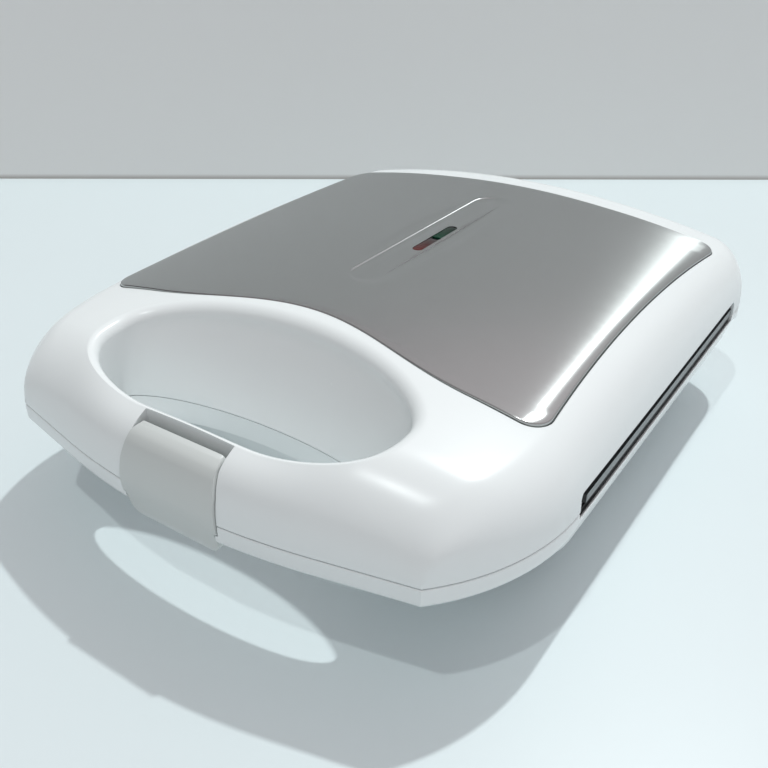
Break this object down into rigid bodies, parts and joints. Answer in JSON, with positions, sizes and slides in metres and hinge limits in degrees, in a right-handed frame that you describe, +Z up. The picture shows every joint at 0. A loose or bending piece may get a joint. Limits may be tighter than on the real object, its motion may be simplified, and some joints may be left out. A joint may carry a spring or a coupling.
{
  "type": "sandwich toaster",
  "caption": "White sandwich toaster with a hinged lid, brushed steel top plate, oval finger hole, front latch and two signal lights.",
  "frame": {"origin": "middle of the footprint, at the height the feet stand on", "axes": "+X to the right, +Y to the hinge at the back, +Z up"},
  "size_m": [0.2678, 0.33, 0.1044],
  "materials": {
    "housing": "gloss",
    "latch_plastic": "satin",
    "steel_sheet": "brushed",
    "cast_plate": "matt non-stick coating",
    "element_sheath": "oxidised",
    "tinplate": "satin",
    "screw_steel": "satin",
    "foot_rubber": "matt",
    "black_plastic": "satin",
    "ceramic": "matt",
    "red_lens": "gloss",
    "green_lens": "gloss",
    "lamp_glass": "clear"
  },
  "bodies": {
    "base": {"base_shell": "housing", "lower_plate": "cast_plate", "lower_element": "element_sheath", "lower_heat_shield": "tinplate", "base_screws": "screw_steel", "feet": "foot_rubber", "terminal_block": "ceramic", "cord_inlet": "foot_rubber"},
    "lid": {"lid_cover": "housing", "handle_liner": "housing", "liner_screws": "screw_steel", "steel_cover": "steel_sheet", "light_bezel": "black_plastic", "red_lens": "red_lens", "green_lens": "green_lens", "neon_lamps": "lamp_glass", "lamp_holder": "black_plastic", "upper_plate": "cast_plate", "upper_element": "element_sheath", "upper_heat_shield": "tinplate", "lid_screws": "screw_steel", "plate_screws": "screw_steel", "thermostat": "ceramic", "thermal_fuse": "lamp_glass", "hinge_pins": "screw_steel", "latch_pin": "screw_steel"},
    "latch": {"latch": "latch_plastic"}
  },
  "joints": [
    {"name": "lid_hinge", "type": "hinge", "parent": "base", "child": "lid", "pos_m": [0, 0.157, 0.0616], "axis": [-1, 0, 0], "range_deg": [0, 100]},
    {"name": "latch_swing", "type": "hinge", "parent": "lid", "child": "latch", "pos_m": [0, -0.1564, 0.0686], "axis": [-1, 0, 0], "range_deg": [0, 14]}
  ]
}
